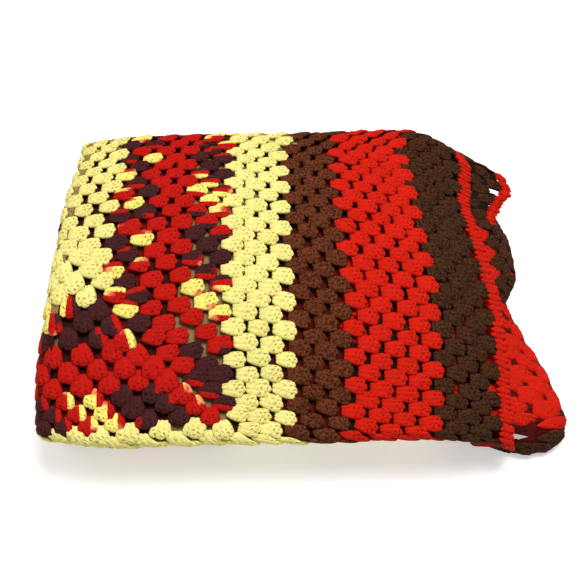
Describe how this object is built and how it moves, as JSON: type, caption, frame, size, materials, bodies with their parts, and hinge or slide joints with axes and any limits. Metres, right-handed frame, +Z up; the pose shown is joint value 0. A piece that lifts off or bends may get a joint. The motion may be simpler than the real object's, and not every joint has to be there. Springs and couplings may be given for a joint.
{
  "type": "folded granny square blanket",
  "caption": "A striped crochet blanket worked as a single large granny square, folded into a soft domed bundle, with its edged free end drooping on the right.",
  "frame": {"origin": "middle of the bundle's footprint box, on the surface that it lies on", "axes": "+X towards the open end with the edging, +Y from the front fold to the back fold, +Z up"},
  "size_m": [0.4756, 0.3307, 0.0758],
  "materials": {
    "striped_yarn": "matt acrylic yarn in red, cream and two browns, slightly fuzzy",
    "red_yarn": "matt red-orange acrylic yarn, slightly fuzzy"
  },
  "bodies": {
    "root": {"blanket": "striped_yarn", "edging": "red_yarn"}
  },
  "joints": []
}
